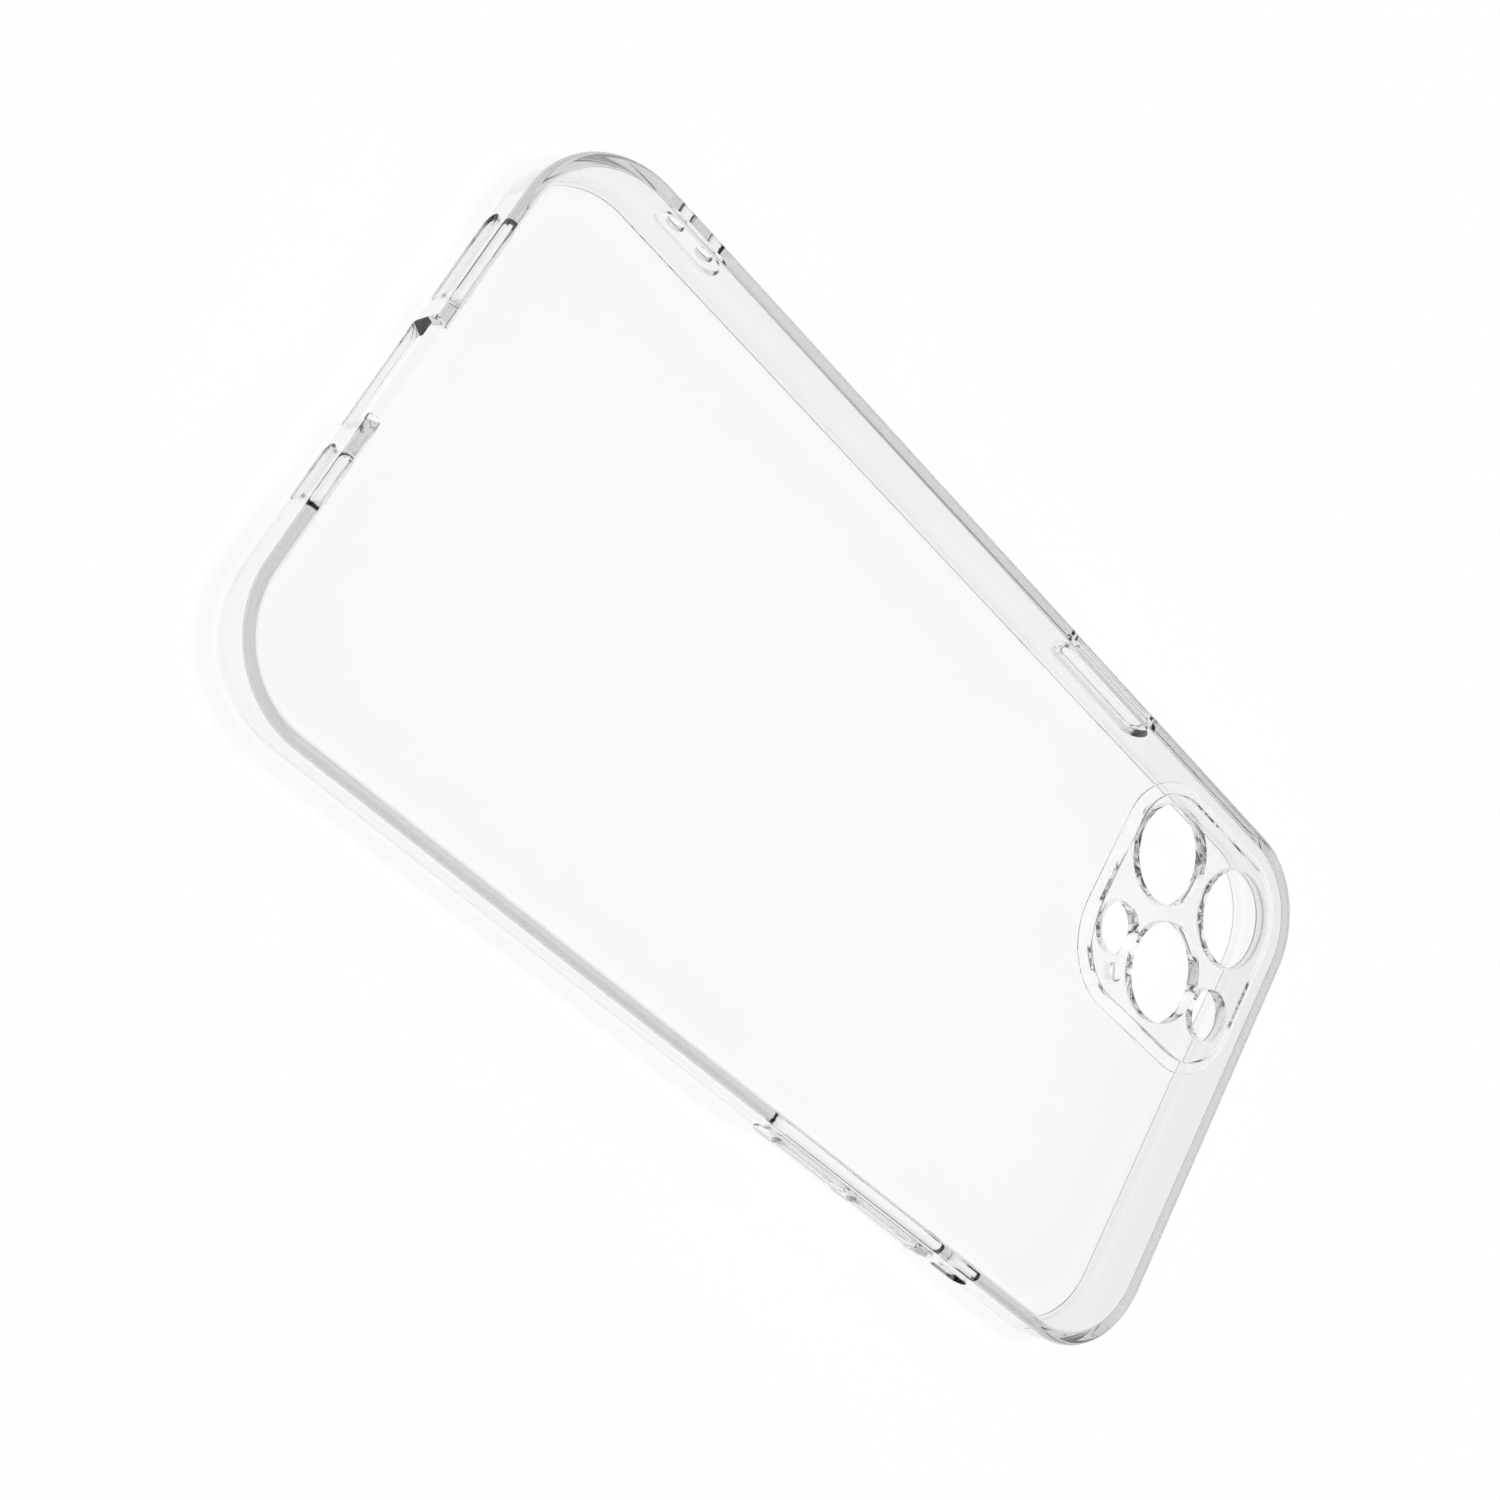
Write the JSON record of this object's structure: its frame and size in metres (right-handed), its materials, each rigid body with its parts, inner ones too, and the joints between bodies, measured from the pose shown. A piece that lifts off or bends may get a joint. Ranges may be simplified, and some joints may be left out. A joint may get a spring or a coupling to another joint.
{
  "type": "phone case",
  "caption": "Clear protective phone case with a hard back panel, soft bumper frame, raised camera guard, sprung side keys, port and sound openings, and a lanyard slot.",
  "frame": {"origin": "centre of the case in plan, on the plane of the front rim it lies on", "axes": "+Z out of the back, +Y to the camera end, +X to the volume-key side"},
  "size_m": [0.0826, 0.1632, 0.0108],
  "materials": {
    "hard_clear": "clear hard plastic, polished",
    "soft_clear": "clear flexible plastic, polished",
    "key_clear": "clear flexible plastic, polished"
  },
  "bodies": {
    "case": {"back_panel": "hard_clear", "camera_guard": "hard_clear", "bumper_frame": "soft_clear", "power_key_web": "soft_clear", "volume_key_web": "soft_clear"},
    "power_key": {"power_key": "key_clear"},
    "volume_up_key": {"volume_up_key": "key_clear"},
    "volume_down_key": {"volume_down_key": "key_clear"}
  },
  "joints": [
    {"name": "power_key_press", "type": "slide", "parent": "case", "child": "power_key", "axis": [1, 0, 0], "range_m": [0, 0.0004], "stiffness_N_per_m": 6000},
    {"name": "volume_up_press", "type": "slide", "parent": "case", "child": "volume_up_key", "axis": [-1, 0, 0], "range_m": [0, 0.0004], "stiffness_N_per_m": 6000},
    {"name": "volume_down_press", "type": "slide", "parent": "case", "child": "volume_down_key", "axis": [-1, 0, 0], "range_m": [0, 0.0004], "stiffness_N_per_m": 6000}
  ]
}
